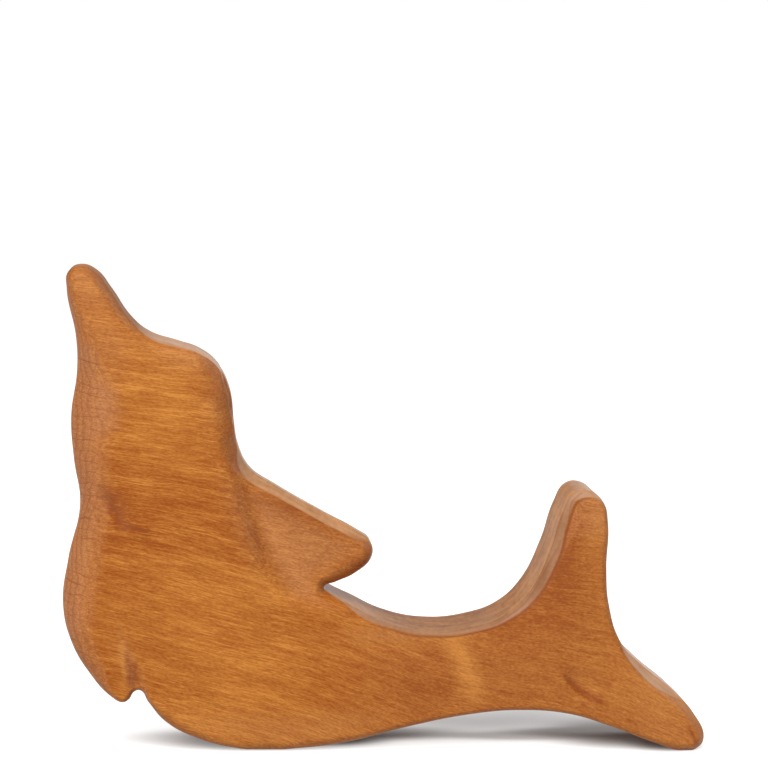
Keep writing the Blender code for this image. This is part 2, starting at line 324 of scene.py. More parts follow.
# Two triangles between each pair of neighbours on each pair of rings
def ringTriangles(ringCount, count):
    here = np.arange(count)[None, :] + count * np.arange(ringCount - 1)[:, None]
    after = np.roll(here, -1, axis=1)
    first = np.stack([here, here + count, after + count], axis=-1)
    second = np.stack([here, after + count, after], axis=-1)
    return np.concatenate([first.reshape(-1, 3), second.reshape(-1, 3)])


# The face inside the roundings: an even grid of points, a sheet of triangles over them and the
# edge, and for each point how far off the edge is and which point of the edge is nearest
def faceSheet(edge):
    grid = hexGrid(edge.min(axis=0), edge.max(axis=0), board["faceStep"])
    gap, nearest = np.zeros(len(grid)), np.zeros(len(grid), dtype=int)
    for part in np.array_split(np.arange(len(grid)), chunks):
        squared = ((grid[part, None] - edge[None]) ** 2).sum(axis=2)
        nearest[part] = squared.argmin(axis=1)
        gap[part] = np.sqrt(squared.min(axis=1))
    clear = gap > board["clearOfEdge"] * board["pointStep"]
    grid, gap, nearest = grid[clear], gap[clear], nearest[clear]
    count = len(edge)
    spots = [Vector(point) for point in np.vstack([edge, grid])]
    sheet = delaunay_2d_cdt(spots, [], [list(range(count))], 1, tiny)
    faces = np.array([origins[0] for origins in sheet[3]])[np.array(sheet[2])]
    used = np.unique(faces[faces >= count])
    renumber = np.arange(count + len(grid))
    renumber[used] = count + np.arange(len(used))
    kept = used - count
    return grid[kept], gap[kept], nearest[kept], renumber[faces]


# The half in front of the middle plane, then its mirror image behind, sharing the middle ring.
# What is marked on the saw line holds for all that is nearest to it.
def shapeBody():
    outline, sanding = walkSawLine()
    count = len(outline)
    rings, border, across, facing = rimRings(outline, sanding)
    inner, gap, nearest, sheetFaces = faceSheet(rings[-1][:, [0, 2]])
    height = faceHeight(inner, outline)
    half = np.vstack([rings.reshape(-1, 3), np.column_stack([inner[:, 0], -height, inner[:, 1]])])
    faces = np.concatenate([ringTriangles(len(rings), count), sheetFaces + (len(rings) - 1) * count])
    mirrored = half[count:] * (1, -1, 1)
    turned = np.where(faces < count, faces, faces + len(half) - count)[:, ::-1]
    onLine = (across, facing, *flatMarks(outline))
    marks = [np.append(np.tile(mark, len(rings)), mark[nearest]) for mark in onLine]
    marks = [np.append(border, gap), *marks]
    corners = np.vstack([half, mirrored])
    return corners, np.concatenate([faces, turned]), [np.append(mark, mark[count:]) for mark in marks]


grainRun = {
    "lean": 0.34,            # how steeply the fibres fall towards the tail, at the height of the belly
    "leanByHeight": 0.0027,  # and how much less they fall for each millimetre of height
    "bends": [(8.0, 30.0, -0.08), (50.0, 12.0, 0.20)],   # x where a bend starts, its length, change of fall
    "wander": [(0.8, 17.0, 23.0, 0.0), (0.4, -9.0, 13.0, 1.3)],   # height, lengths along x and z, start
}

# Light and dark figure in the wood, together with painted light and shade, such as the paler belly
# and the darker tail: x and z of the middle, half length, half height, degrees that it falls
# towards the tail, and how much paler it is (less than 0 is darker)
figureAndShadingPatches = [
    (-50.8, 79.0, 8.5, 6.5, 8.0, 0.22),
    (-52.0, 92.5, 8.0, 2.0, 10.0, 0.18),
    (-70.0, 47.0, 5.0, 10.0, 0.0, 0.16),
    (-62.3, 73.0, 1.6, 11.0, 0.0, -0.06),
    (-61.6, 61.0, 2.4, 6.0, 0.0, -0.10),
    (-65.0, 52.5, 1.6, 3.0, -20.0, 0.16),
    # painted light: the belly made paler, as if lit by the floor below
    (-29.5, 6.0, 15.0, 3.2, 5.0, 0.28),
    (-52.8, 58.0, 15.0, 6.0, 10.0, -0.20),
    (-55.0, 48.5, 8.0, 3.5, 14.0, -0.16),
    (-35.5, 47.0, 6.0, 4.0, 14.0, -0.20),
    (-34.0, 38.5, 8.0, 4.0, 14.0, 0.10),
    (-58.0, 38.0, 7.0, 8.0, 0.0, -0.12),
    (-36.0, 18.5, 10.0, 5.5, 18.0, 0.14),
    (20.0, 20.0, 26.0, 14.0, 0.0, -0.21),
    (10.0, 14.5, 6.0, 4.0, -5.0, -0.22),
    (15.5, 20.5, 4.0, 7.0, 0.0, 0.10),
    (-70.0, 105.0, 4.0, 8.0, 0.0, 0.10),
    (-64.5, 56.5, 4.0, 4.0, 0.0, -0.14),
    (14.0, 26.0, 4.0, 2.0, 20.0, 0.16),
    # painted shade: the middle of the tail made darker, here and in the next line
    (40.5, 36.0, 7.0, 9.5, 10.0, -0.22),
    (45.5, 24.0, 7.0, 4.0, 30.0, -0.10),
    (-41.0, 82.0, 4.0, 8.0, 0.0, -0.16),
    (-46.0, 57.0, 9.0, 6.0, 10.0, -0.06),
    (-46.0, 91.3, 5.0, 1.8, 12.0, 0.20),
    (48.2, 55.0, 2.2, 4.0, 0.0, 0.22),
    (62.0, 13.0, 8.0, 3.5, 35.0, 0.14),
    (-25.0, 56.5, 7.0, 1.8, 30.0, -0.22),
    (-8.0, 46.0, 4.0, 3.0, 0.0, -0.22),
    (24.0, 31.0, 7.0, 1.8, 25.0, -0.22),
    (3.0, 27.2, 8.0, 2.0, 0.0, 0.18),
    (41.0, 45.0, 3.0, 8.0, 0.0, -0.34),
    (-63.0, 46.0, 3.0, 4.0, 0.0, -0.12),
    (-39.5, 65.0, 3.0, 3.0, 0.0, -0.16),
    (-63.0, 22.5, 2.5, 3.5, 0.0, -0.14),
    (-46.0, 44.5, 8.0, 2.5, 14.0, 0.14),
    (-46.5, 60.0, 4.0, 2.0, 10.0, 0.12),
    (37.0, 22.5, 6.0, 3.5, 15.0, 0.12),
    (66.0, 8.5, 4.0, 2.5, 35.0, 0.10),
    (-66.0, 93.0, 4.0, 6.0, 0.0, 0.08),
    (-37.0, 76.0, 2.5, 12.0, 0.0, -0.06),
]

# Long marks: painted shade and painted highlights beside the knife cuts, the flipper's groove and
# the fin's cove, paler figure with darker flanks on the tail's stem, and dark lines along the fin's
# top and the fluke's tip: how much paler, half width at the start and at the end, and the way they
# run. Each fades in and out over strokeEnd of its length.
strokeEnd = 0.25
figureAndShadingStrokes = [
    (0.56, 1.5, 1.9, [(12.5, 28.5), (17.0, 23.5), (18.6, 19.5), (20.4, 16.0), (19.8, 9.5)]),
    (-0.20, 1.4, 1.6, [(9.0, 27.0), (13.4, 20.0), (15.4, 12.0)]),
    (-0.12, 1.2, 1.4, [(19.0, 28.5), (23.0, 22.0), (24.6, 14.0)]),
    # painted shade in the neck's knife cut
    (-0.42, 0.7, 1.2, [(-67.2, 64.0), (-64.2, 57.4), (-61.2, 53.0), (-52.0, 49.6)]),
    # painted shade along the fin's cove, and a painted highlight beside it in the next line
    (-0.14, 2.2, 2.2, [(-37.0, 65.0), (-33.2, 56.0), (-30.4, 50.0), (-26.0, 43.0), (-22.0, 37.5)]),
    (0.30, 1.2, 1.2, [(-29.5, 56.0), (-27.2, 51.5), (-23.9, 46.0), (-20.0, 39.8), (-15.5, 35.0)]),
    (-0.22, 1.6, 1.6, [(-31.4, 60.8), (-23.5, 56.6), (-14.2, 51.6), (-6.5, 47.6)]),
    # painted highlights and painted shade on the walls of the flipper's groove, down to line 440
    (0.55, 0.7, 0.6, [(-61.6, 27.0), (-60.9, 23.0), (-60.4, 19.5), (-59.8, 16.0)]),
    (-0.85, 0.5, 0.6, [(-60.5, 24.0), (-59.6, 19.5), (-58.9, 15.4)]),
    (-0.75, 0.5, 0.6, [(-59.0, 21.5), (-58.1, 18.0), (-57.5, 14.6)]),
    (0.20, 0.5, 0.5, [(-59.9, 24.0), (-58.9, 19.5), (-58.3, 15.4)]),
    # painted shade in the tail's knife cut, and a painted highlight on its gentle side in the next line
    (-0.75, 0.2, 0.8, [(39.9, 19.6), (42.4, 17.0), (45.2, 14.4), (52.5, 10.8)]),
    (0.22, 1.3, 1.3, [(42.6, 20.4), (46.4, 17.0), (50.4, 12.6)]),
    (-0.60, 0.30, 0.30, [(70.6, 7.2), (71.6, 5.0), (72.6, 2.9), (73.4, 1.0)]),
]


# The integral of rise: 0 before share 0, then a slope that grows to 1
def glide(share):
    inside = np.clip(share, 0.0, 1.0)
    return inside**3 - 0.5 * inside**4 + np.maximum(share - 1.0, 0.0)


# Place along the fibres, across them, and through the board
def grainPlace(corners):
    x, y, z = corners.T
    across = z + x * (grainRun["lean"] - grainRun["leanByHeight"] * z)
    for start, length, change in grainRun["bends"]:
        across = across + change * length * glide((x - start) / length)
    for height, alongX, alongZ, start in grainRun["wander"]:
        across = across + height * np.sin(x / alongX + z / alongZ + start)
    return np.column_stack([x, across, y])


# The amount times e to the minus half of the squared distance, in half lengths and half heights
def bell(corners, x, z, length, height, fall, amount):
    angle = math.radians(-fall)
    ahead, up = corners[:, 0] - x, corners[:, 2] - z
    along = (ahead * math.cos(angle) + up * math.sin(angle)) / length
    across = (up * math.cos(angle) - ahead * math.sin(angle)) / height
    return amount * np.exp(-0.5 * (along**2 + across**2))


# The sum of all patches and strokes, wood figure and painted light and shade alike. A stroke is a bell too,
# by the distance from it.
def figureAndShadingTone(corners):
    tone = sum(bell(corners, *patch) for patch in figureAndShadingPatches)
    for amount, first, last, stroke in figureAndShadingStrokes:
        side, share = placeOnStroke(corners[:, [0, 2]], stroke)
        ends = rise(share / strokeEnd) * rise((1.0 - share) / strokeEnd)
        tone += amount * ends * np.exp(-0.5 * (side / (first + (last - first) * share)) ** 2)
    return tone


# Where the face shows short, paler fibres instead of long streaks: all over the fin, along the
# tail, at both flukes and on the beak. Each pair is where the share starts to rise, and over what
# length. The patches are as in figureAndShadingPatches. The one along the belly is painted light,
# paler and less orange as if lit by the floor below.
crossGrain = {
    "fin": 0.70,
    "finPastCove": (-3.0, 5.0),
    "finAboveFoot": (1.0, 4.0),
    "finRim": 0.3,              # what is left of the fin's share on its rounding
    "finPastRim": (-1.0, 5.0),
    "tail": 0.22,
    "tailAlong": (-20.0, 30.0),
    "lowerFluke": 0.32,
    "lowerFlukeAlong": (48.0, 14.0),
    "upperFluke": 0.60,
    "upperFlukeUp": (44.0, 12.0),
    "beak": 0.45,
    "patches": [(-45.0, 92.0, 7.0, 2.8, 12.0, 0.50), (-29.0, 5.0, 18.0, 3.0, 4.0, 0.22),
                (-59.5, 20.0, 4.6, 1.1, 75.0, 0.60), (3.0, 27.6, 8.0, 1.8, 0.0, 0.50),
                (-39.5, 83.0, 2.6, 5.0, 0.0, 0.40), (-33.4, 54.0, 9.0, 2.0, 70.0, 0.50),
                (-66.0, 93.0, 4.0, 6.0, 0.0, 0.35), (-4.0, 8.0, 16.0, 3.0, -8.0, 0.22)],
}


# The fin's face by its way past the cove, the tail by x, the upper fluke and beak by height, and
# of all these the largest
def crossGrainShare(corners, border):
    share = crossGrain
    x, z = corners[:, 0], corners[:, 2]
    side, _ = placeOnStroke(corners[:, [0, 2]], finCarving["cove"])
    foot = riseFrom(z - finCarving["footHeight"], *share["finAboveFoot"]) * fade(x / finCarving["frontFade"])
    rim = share["finRim"] + (1.0 - share["finRim"]) * riseFrom(border, *share["finPastRim"])
    fin = share["fin"] * riseFrom(side, *share["finPastCove"]) * foot * rim
    tail = share["tail"] * riseFrom(x, *share["tailAlong"])
    lower = share["lowerFluke"] * riseFrom(x, *share["lowerFlukeAlong"])
    upper = share["upperFluke"] * riseFrom(z, *share["upperFlukeUp"]) * (x > 0.0)
    beak = share["beak"] * riseFrom(z, beakTaper["rootHeight"], beakTaper["length"])
    patches = sum(bell(corners, *patch) for patch in share["patches"])
    return np.maximum.reduce([fin, tail, lower, upper, beak, patches])


# Where the sanding runs over the whole edge: on the chest's side, where the edge faces forwards
# and its rounding is wide, and on the beak. Pairs as in crossGrain.
wholeSanding = {"facing": (0.1, 0.4), "width": (2.5, 0.6), "beakHeight": (93.5, 4.0)}


# 1 less the larger of the two, since the saw's own wall is bare elsewhere
def bareWallShare(corners, width, facing):
    chest = riseFrom(-facing, *wholeSanding["facing"]) * riseFrom(width, *wholeSanding["width"])
    beak = riseFrom(corners[:, 2], *wholeSanding["beakHeight"])
    return 1.0 - np.maximum(chest * (corners[:, 0] < 0.0), beak)


# How much of a rounding is a flat painted pale like the sawn wall, as if lit as the wall is: x and z
# of the corners of the saw line that it runs between, its outer share of the rounding, and its
# painted tone from dark to pale, darker low in the saddle and tail corner
flats = [
    ((-56.0, 96.1), (-48.0, 93.5), 0.28, 0.75),
    ((-33.6, 67.6), (-6.5, 50.2), 0.90, 0.58),
    ((-8.0, 33.8), (33.1, 37.6), 0.80, 0.30),
    ((33.1, 37.6), (38.6, 50.0), 0.80, 0.20),
    ((39.0, 51.0), (41.6, 58.6), 0.45, 0.28),
    ((42.6, 60.4), (48.6, 60.2), 0.90, 0.80),
    ((55.5, 25.0), (68.5, 13.0), 0.78, 0.72),
]


# Each flat's share and painted tone along the saw line, evened out like the sanding
def flatMarks(outline):
    middleTone = 0.5
    share, tone = np.zeros(len(outline)), np.full(len(outline), middleTone)
    for start, end, flatShare, flatShading in flats:
        first, last = (np.argmin(((outline - point) ** 2).sum(axis=1)) for point in (start, end))
        share[first:last + 1], tone[first:last + 1] = flatShare, flatShading
    return evenOut(share), evenOut(tone)


# Painted light and shade on the sawn walls, where they are paler than elsewhere, or darker, as in
# figureAndShadingPatches: paler high on the forehead, darker low in the saddle's hollow
wallLightAndShadePatches = [
    (-52.0, 95.0, 10.0, 5.0, 12.0, 0.16),
    (-20.0, 57.5, 16.0, 6.0, 30.0, 0.03),
    (12.0, 29.0, 18.0, 5.0, 0.0, -0.28),
    (38.0, 48.0, 6.0, 12.0, 0.0, 0.03),
    (46.5, 61.5, 5.0, 2.5, 0.0, 0.06),
]


# The sum of all wall patches, painted light and shade
def wallLightAndShade(corners):
    return sum(bell(corners, *patch) for patch in wallLightAndShadePatches)


# Fine dark checks across the fibres: over the rounding of the chest, and on the upper fluke's
# face. The first pairs are as in crossGrain.
fineChecks = {
    "facing": (0.30, 0.45),
    "rounding": (0.12, 0.38),   # way out over the rounding, 1 at the wall
    "width": (4.0, 2.0),
    "offMiddle": (2.0, 5.0),    # from the board's middle plane, where the two sides' sanding meets
    "flukeHeight": (43.0, 5.0),
    "flukeBorder": (-0.3, 0.5),
    "fluke": 0.55,
    "pitch": 3.1,
    "lineWidth": 0.085,         # of the pitch, to either side
    "wander": 1.3,              # pitches that a line strays, over these lengths
    "wanderLength": (9.0, 6.0, 9.0),
    "closerOnTail": 1.4,        # the pitch there is divided by 1 plus this
    "tailFrom": (20.0, 21.0),
    "breakLength": (7.0, 3.0, 7.0),
    "breaks": (0.32, 0.52),     # noise below the first hides a line, above the second shows it
    "strength": 0.66,
}


# The product of every pair's share on the chest, or of the fluke's two where that is more
def checkShare(corners, border, width, facing):
    chest = riseFrom(-facing, *fineChecks["facing"]) * riseFrom(-border / width, *fineChecks["rounding"])
    chest = chest * riseFrom(width, *fineChecks["width"])
    chest = chest * riseFrom(np.abs(corners[:, 1]), *fineChecks["offMiddle"])
    fluke = riseFrom(corners[:, 2], *fineChecks["flukeHeight"]) * (corners[:, 0] > 0.0)
    fluke = fluke * riseFrom(border, *fineChecks["flukeBorder"])
    return np.maximum(chest, fineChecks["fluke"] * fluke)


# How far the surface turns towards the fibres' front ends, and how far off the face in all: the
# normal's parts along the fibres, and along and across them together. Across is the way in which
# grainPlace grows fastest.
def cutAngles(obj, corners):
    normals = np.empty(3 * len(corners))
    obj.data.vertex_normals.foreach_get("vector", normals)
    normals = normals.reshape(-1, 3)
    step = 0.05
    ahead = grainPlace(corners + (step, 0, 0))[:, 1] - grainPlace(corners)[:, 1]
    up = grainPlace(corners + (0, 0, step))[:, 1] - grainPlace(corners)[:, 1]
    across = unit(np.column_stack([ahead, up]))
    sideways = np.abs(normals[:, 0] * across[:, 0] + normals[:, 2] * across[:, 1])
    endways = normals[:, 2] * across[:, 0] - normals[:, 0] * across[:, 1]
    return endways, np.hypot(endways, sideways)


# A smooth mesh at the origin, from corners in millimetres
def addMesh(name, corners, faces):
    mesh = bpy.data.meshes.new(name)
    mesh.from_pydata((corners * mm).tolist(), [], faces.tolist())
    mesh.shade_smooth()
    obj = bpy.data.objects.new(name, mesh)
    bpy.context.scene.collection.objects.link(obj)
    return obj


# A value or a vector for each corner, which the material reads by name
def addAttribute(obj, name, values):
    kind, field = ("FLOAT", "value") if values.ndim == 1 else ("FLOAT_VECTOR", "vector")
    attribute = obj.data.attributes.new(name, kind, "POINT")
    attribute.data.foreach_set(field, values.astype(np.float32).ravel())


corners, faces, (border, width, facing, flat, flatShading) = shapeBody()
figurine = addMesh("carved_dolphin", corners, faces)
endCut, tilt = cutAngles(figurine, corners)
marks = {
    "grain": grainPlace(corners), "border": border, "width": width, "facing": facing,
    "endCut": endCut, "tilt": tilt, "figureAndShadingTone": figureAndShadingTone(corners),
    "crossGrain": crossGrainShare(corners, border), "bareWall": bareWallShare(corners, width, facing),
    "flat": flat, "flatShading": flatShading, "wallLightAndShade": wallLightAndShade(corners),
    "checked": checkShare(corners, border, width, facing),
}
for name, values in marks.items():
    addAttribute(figurine, name, values)
print("figurine shaped:", len(corners), "points,", len(faces), "triangles")


# Wraps a node's output, so that maths on it reads as plain Python
class Wire:
    def __init__(self, tree, socket=None):
        self.tree = tree
        self.socket = socket

    # A new node of this kind, with its settings first, then the values or links of its sockets
    def node(self, kind, settings, inputs, output=0):
        made = self.tree.nodes.new(kind)
        for name, value in settings.items():
            setattr(made, name, value)
        for name, value in inputs.items():
            if isinstance(value, Wire):
                self.tree.links.new(value.socket, made.inputs[name])
            else:
                made.inputs[name].default_value = value
        return Wire(self.tree, made.outputs[output])

    # One Math node on these values
    def maths(self, operation, *values):
        return self.node("ShaderNodeMath", {"operation": operation}, dict(enumerate(values)))

    def __add__(self, other):
        return self.maths("ADD", self, other)

    __radd__ = __add__

    def __sub__(self, other):
        return self.maths("SUBTRACT", self, other)

    def __rsub__(self, other):
        return self.maths("SUBTRACT", other, self)

    def __mul__(self, other):
        return self.maths("MULTIPLY", self, other)

    __rmul__ = __mul__

    def __truediv__(self, other):
        return self.maths("DIVIDE", self, other)

    # 1 for rays of this kind: Camera, Glossy or Transmission
    def rays(self, kind):
        return self.node("ShaderNodeLightPath", {}, {}, f"Is {kind} Ray")

    # One part of this vector, X, Y or Z
    def part(self, letter):
        return self.node("ShaderNodeSeparateXYZ", {}, {"Vector": self}, letter)

    # This vector, each part divided by the size along it
    def dividedBy(self, sizes):
        shares = tuple(1.0 / size for size in sizes)
        return self.node("ShaderNodeVectorMath", {"operation": "MULTIPLY"}, {0: self, 1: shares})

    # This vector's dot product with another
    def dot(self, other):
        return self.node("ShaderNodeVectorMath", {"operation": "DOT_PRODUCT"}, {0: self, 1: other}, "Value")

    # Even noise about 0.5 on this vector, with marks about as large as the sizes
    def noise(self, sizes, detail, roughness):
        inputs = {"Vector": self.dividedBy(sizes), "Scale": 1.0, "Detail": detail, "Roughness": roughness}
        return self.node("ShaderNodeTexNoise", {}, inputs)

    # Feeds an input of the shader
    def feed(self, target):
        self.tree.links.new(self.socket, target)

    # 0 below low, 1 above high, with a smooth step between
    def ramp(self, low, high):
        inputs = {"Value": self, "From Min": low, "From Max": high, "To Min": 0.0, "To Max": 1.0}
        return self.node("ShaderNodeMapRange", {"interpolation_type": "SMOOTHSTEP"}, inputs)

    # 1 at the place, falling to 0 at a distance of reach on either side
    def line(self, place, reach):
        away = self - place
        return (1.0 - away.maths("ABSOLUTE", away) / reach).ramp(0.0, 1.0)

    # From one colour to another as this goes from 0 to 1
    def blend(self, first, second):
        inputs = {0: self, 6: first, 7: second}
        return self.node("ShaderNodeMix", {"data_type": "RGBA"}, inputs, 2)


wood = {
    "darkFace": (0.317, 0.068, 0.0015, 1.0),   # the fibres where the face runs along them
    "paleFace": (0.660, 0.258, 0.043, 1.0),
    "deepFace": (0.220, 0.0550, 0.014, 1.0),   # in the darkest marks
    "darkEnd": (0.33, 0.110, 0.032, 1.0),      # where a rounding cuts across them
    "paleEnd": (0.56, 0.225, 0.078, 1.0),
    "darkSide": (0.28, 0.105, 0.028, 1.0),     # on the sawn walls
    "paleSide": (0.80, 0.390, 0.160, 1.0),
    "darkFlat": (0.28, 0.120, 0.050, 1.0),     # painted light and shade on the roundings' flats, pale like the walls
    "paleFlat": (0.60, 0.340, 0.200, 1.0),
    # painted shade on slopes that fall towards the tail
    "shadedSlope": (0.22, 0.068, 0.030, 1.0),
    "ringLine": (0.26, 0.070, 0.022, 1.0),
    "checkLine": (0.24, 0.060, 0.020, 1.0),
    "rimLine": (0.24, 0.060, 0.010, 1.0),
    "roughness": 0.47,
    "streakRoughness": 0.10,
    "refraction": 1.45,
    "specular": 0.25,
    "bumpHeight": 0.03,
    "bumpStrength": 0.6,
}

# Marks in the wood: length along the fibres and across them, then the noise's detail and roughness
streakNoise = {
    "fine": (5.0, 0.29, 2.0, 0.6),
    "middle": (12.0, 0.95, 2.0, 0.5),
    "broad": (20.0, 5.5, 1.0, 0.5),
    "pore": (0.8, 0.33, 1.0, 0.5),
}
fibreCurl = {"length": (7.0, 5.0, 5.0), "height": 1.1}

# A tone runs from dark at 0 to pale at 1. It is its level plus each mark by its weight. A pair is
# where a change starts and ends.
faceTone = {
    "level": 0.42, "fine": 1.5, "middle": 0.85, "broad": 0.7, "pore": 0.8, "figureAndShading": 0.76,
    "paleStreaks": 0.8,         # makes pale streaks stronger than dark ones
    "calmer": 0.38,             # streaks lose this share towards the tail
    "calmAlong": (-24.0, 8.0),
    "marginShade": 0.10,             # painted shade, darker beside the chest's rounding
    "marginShadeWidth": (0.0, 5.0),
    "deepBelow": 0.05,
    "deepReach": (0.0, 0.55),
}
endTone = {
    "level": 0.58, "fine": 1.0, "middle": 0.8, "pore": 1.6, "figureAndShading": 0.7,
    "shade": 0.16,              # painted shade: a darker band along the outer half of the rounding
    "shadeStart": (0.50, 0.66),
    "shadeEnd": (0.90, 0.99),
}
wallTones = {
    "level": 0.50, "layers": 0.2, "threads": 0.9, "specks": 0.5,
    "layerSize": (26.0, 26.0, 4.5),
    "threadSize": (8.0, 8.0, 2.0),
    "speckSize": (1.1, 1.1, 4.0),
    "shadeFurtherBack": 0.010,      # painted shade: darker for each millimetre further back, away from the lamp in front
    "onFlat": 0.6,              # what a flat takes of the wall's texture
    "tilt": (0.91, 0.985),      # how far off the face a wall must turn
    "edge": (0.0, 0.08),
    "flatEdge": (0.01, 0.08),
    "satin": 0.18,              # a wall is smoother than the face by this much
    "dullForwards": 0.20,       # but rougher where it faces forwards
    "dullInDark": 0.4,          # and where the painted wall shade makes it darker
}

# Where a rounding shows cut ends: on the chest's side by the way out over it, with a ragged inner
# line, and by onSlope where it faces the fibres' front ends
endBand = {
    "chestSide": (0.30, 0.75),  # how far the edge faces forwards
    "ragged": 0.22,
    "raggedSize": (6.0, 2.5, 6.0),
    "start": -0.25,
    "end": 0.70,
    "narrower": 0.38,           # the end moves in by this much on the widest roundings
    "narrowerWidth": (8.6, 10.4),
    "width": (3.8, 6.6),
    "onSlope": 0.45,
    "slopeCut": (0.05, 0.40),
}

# Painted shade on slopes that fall towards the tail, turned away from the lamp on the left, and less of it
# on the tail itself
slopeShade = {"share": 0.34, "lessOnTail": 0.24, "tailFrom": (24.0, 34.0), "cut": (0.10, 0.65)}

# Growth rings: lines at even depths in the board, where the surface cuts across the fibres
growthRings = {
    "pitch": 1.25,
    "wander": 9.0,              # how far they stray in depth, over these lengths
    "wanderLength": (60.0, 26.0, 1000.0),
    "line": (0.45, 0.97),       # the part of the pitch in which a line grows dark
    "strength": 0.20,
    "strengthFrom": (0.0, 0.15),   # way out over the rounding
    "more": 0.22,
    "moreFrom": (0.45, 0.75),
    "cut": (0.1, 0.4),
}

# The dark line at a flat's inner edge, in millimetres out from it
flatLine = {"place": -0.25, "reach": 0.55, "flat": (0.0, 0.4), "facing": (-0.7, 0.1), "strength": 0.8}


# A material, its shader, and a wire to start its other nodes from
def newMaterial(name):
    material = bpy.data.materials.new(name)
    material.use_nodes = True
    tree = material.node_tree
    return material, tree.nodes["Principled BSDF"], Wire(tree)


# Streaks are noise drawn out along the fibres. Each further look is laid over the last by its
# share: cut ends, painted shade on slopes, flats with painted light and shade, walls with painted
# light and shade, growth rings, checks and the flats' inner lines.
def woodMaterial():
    material, shader, start = newMaterial("oiledFruitWood")

    # What addAttribute stored under the name
    def attribute(name, output="Fac"):
        return start.node("ShaderNodeAttribute", {"attribute_name": name}, {}, output)

    straight = attribute("grain", "Vector")
    x = straight.part("X")
    curl = (straight.noise(fibreCurl["length"], 1.0, 0.5) - 0.5) * fibreCurl["height"]
    bend = start.node("ShaderNodeCombineXYZ", {}, {"Y": curl, "Z": curl})
    grain = start.node("ShaderNodeVectorMath", {"operation": "ADD"}, {0: straight, 1: bend})
    border, width, facing = attribute("border"), attribute("width"), attribute("facing")
    endCut, flat = attribute("endCut"), attribute("flat")
    # wood figure together with painted light and shade, and the walls' painted light and shade
    figureAndShading, patches = attribute("figureAndShadingTone"), attribute("wallLightAndShade")
    edge = (0.0 - border) / width   # way out over the rounding, 1 at the wall

    # Even noise about 0, drawn out along the fibres
    def streaks(name):
        along, across, detail, roughness = streakNoise[name]
        return grain.noise((along, across, across), detail, roughness) - 0.5

    fine, middle, broad, pore = (streaks(name) for name in ("fine", "middle", "broad", "pore"))
    chestSide = (0.0 - facing).ramp(*endBand["chestSide"])

    look = faceTone
    calm = 1.0 - look["calmer"] * x.ramp(*look["calmAlong"])
    streaky = (look["fine"] * fine + look["middle"] * middle + look["broad"] * broad) * calm
    streaky = streaky * (1.0 + look["paleStreaks"] * streaky)
    # painted shade on the face beside the chest's rounding
    marginShade = (1.0 - border.ramp(*look["marginShadeWidth"])) * chestSide
    tone = look["level"] + streaky + look["pore"] * pore + look["figureAndShading"] * figureAndShading
    tone = tone - look["marginShade"] * marginShade
    face = tone.blend(wood["darkFace"], wood["paleFace"])
    face = (look["deepBelow"] - tone).ramp(*look["deepReach"]).blend(face, wood["deepFace"])

    look = endTone
    # painted shade along the outer half of the rounding
    shade = edge.ramp(*look["shadeStart"]) * (1.0 - edge.ramp(*look["shadeEnd"]))
    tone = look["level"] + look["fine"] * fine + look["middle"] * middle + look["pore"] * pore
    end = (tone + look["figureAndShading"] * figureAndShading - look["shade"] * shade).blend(wood["darkEnd"], wood["paleEnd"])
    look = endBand
    ragged = edge + look["ragged"] * (grain.noise(look["raggedSize"], 2.0, 0.6) - 0.5)
    bandEnd = look["end"] - look["narrower"] * width.ramp(*look["narrowerWidth"])
    onBand = ragged.ramp(look["start"], bandEnd) * chestSide * width.ramp(*look["width"])
    onSlope = endCut.ramp(*look["slopeCut"]) * look["onSlope"]
    share = onBand.maths("MAXIMUM", onBand, onSlope)
    colour = share.maths("MAXIMUM", share, attribute("crossGrain")).blend(face, end)

    # painted shade on slopes that fall towards the tail
    look = slopeShade
    share = look["share"] - look["lessOnTail"] * x.ramp(*look["tailFrom"])
    colour = ((0.0 - endCut).ramp(*look["cut"]) * share).blend(colour, wood["shadedSlope"])

    look = wallTones
    layers = straight.noise(look["layerSize"], 2.0, 0.6) - 0.5
    threads = straight.noise(look["threadSize"], 1.0, 0.5) - 0.5
    specks = straight.noise(look["speckSize"], 1.0, 0.5) - 0.5
    texture = look["layers"] * layers + look["threads"] * threads + look["specks"] * specks
    # painted shade further back, and the walls' painted light and shade
    tone = look["level"] + texture - look["shadeFurtherBack"] * straight.part("Z") + patches
    side = tone.blend(wood["darkSide"], wood["paleSide"])
    # the flats' painted light and shade, with some of the wall's texture
    tone = look["onFlat"] * texture + attribute("flatShading")
    pastFlat = edge + flat - 1.0
    colour = pastFlat.ramp(*look["flatEdge"]).blend(colour, tone.blend(wood["darkFlat"], wood["paleFlat"]))
    wall = attribute("tilt").ramp(*look["tilt"]) * edge.ramp(*look["edge"]) * attribute("bareWall")
    colour = wall.blend(colour, side)
    inDark = patches.maths("MINIMUM", patches, 0.0)
    satin = look["satin"] - look["dullForwards"] * chestSide + look["dullInDark"] * inDark

    look = growthRings
    drift = grain.noise(look["wanderLength"], 2.0, 0.4)
    turn = (grain.part("Z") + look["wander"] * drift) / look["pitch"]
    ring = turn.maths("FRACT", turn).ramp(*look["line"])
    share = look["strength"] * edge.ramp(*look["strengthFrom"])
    share = (share + look["more"] * edge.ramp(*look["moreFrom"])) * endCut.ramp(*look["cut"])
    colour = (ring * share).blend(colour, wood["ringLine"])

    look = fineChecks
    closer = 1.0 + look["closerOnTail"] * x.ramp(*look["tailFrom"])
    stray = look["wander"] * grain.noise(look["wanderLength"], 1.0, 0.5)
    turn = closer * grain.part("Y") / look["pitch"] + stray
    check = turn.maths("FRACT", turn).line(0.5, look["lineWidth"] * closer)
    shown = grain.noise(look["breakLength"], 1.0, 0.5).ramp(*look["breaks"])
    share = check * shown * attribute("checked") * look["strength"]
    colour = share.blend(colour, wood["checkLine"])

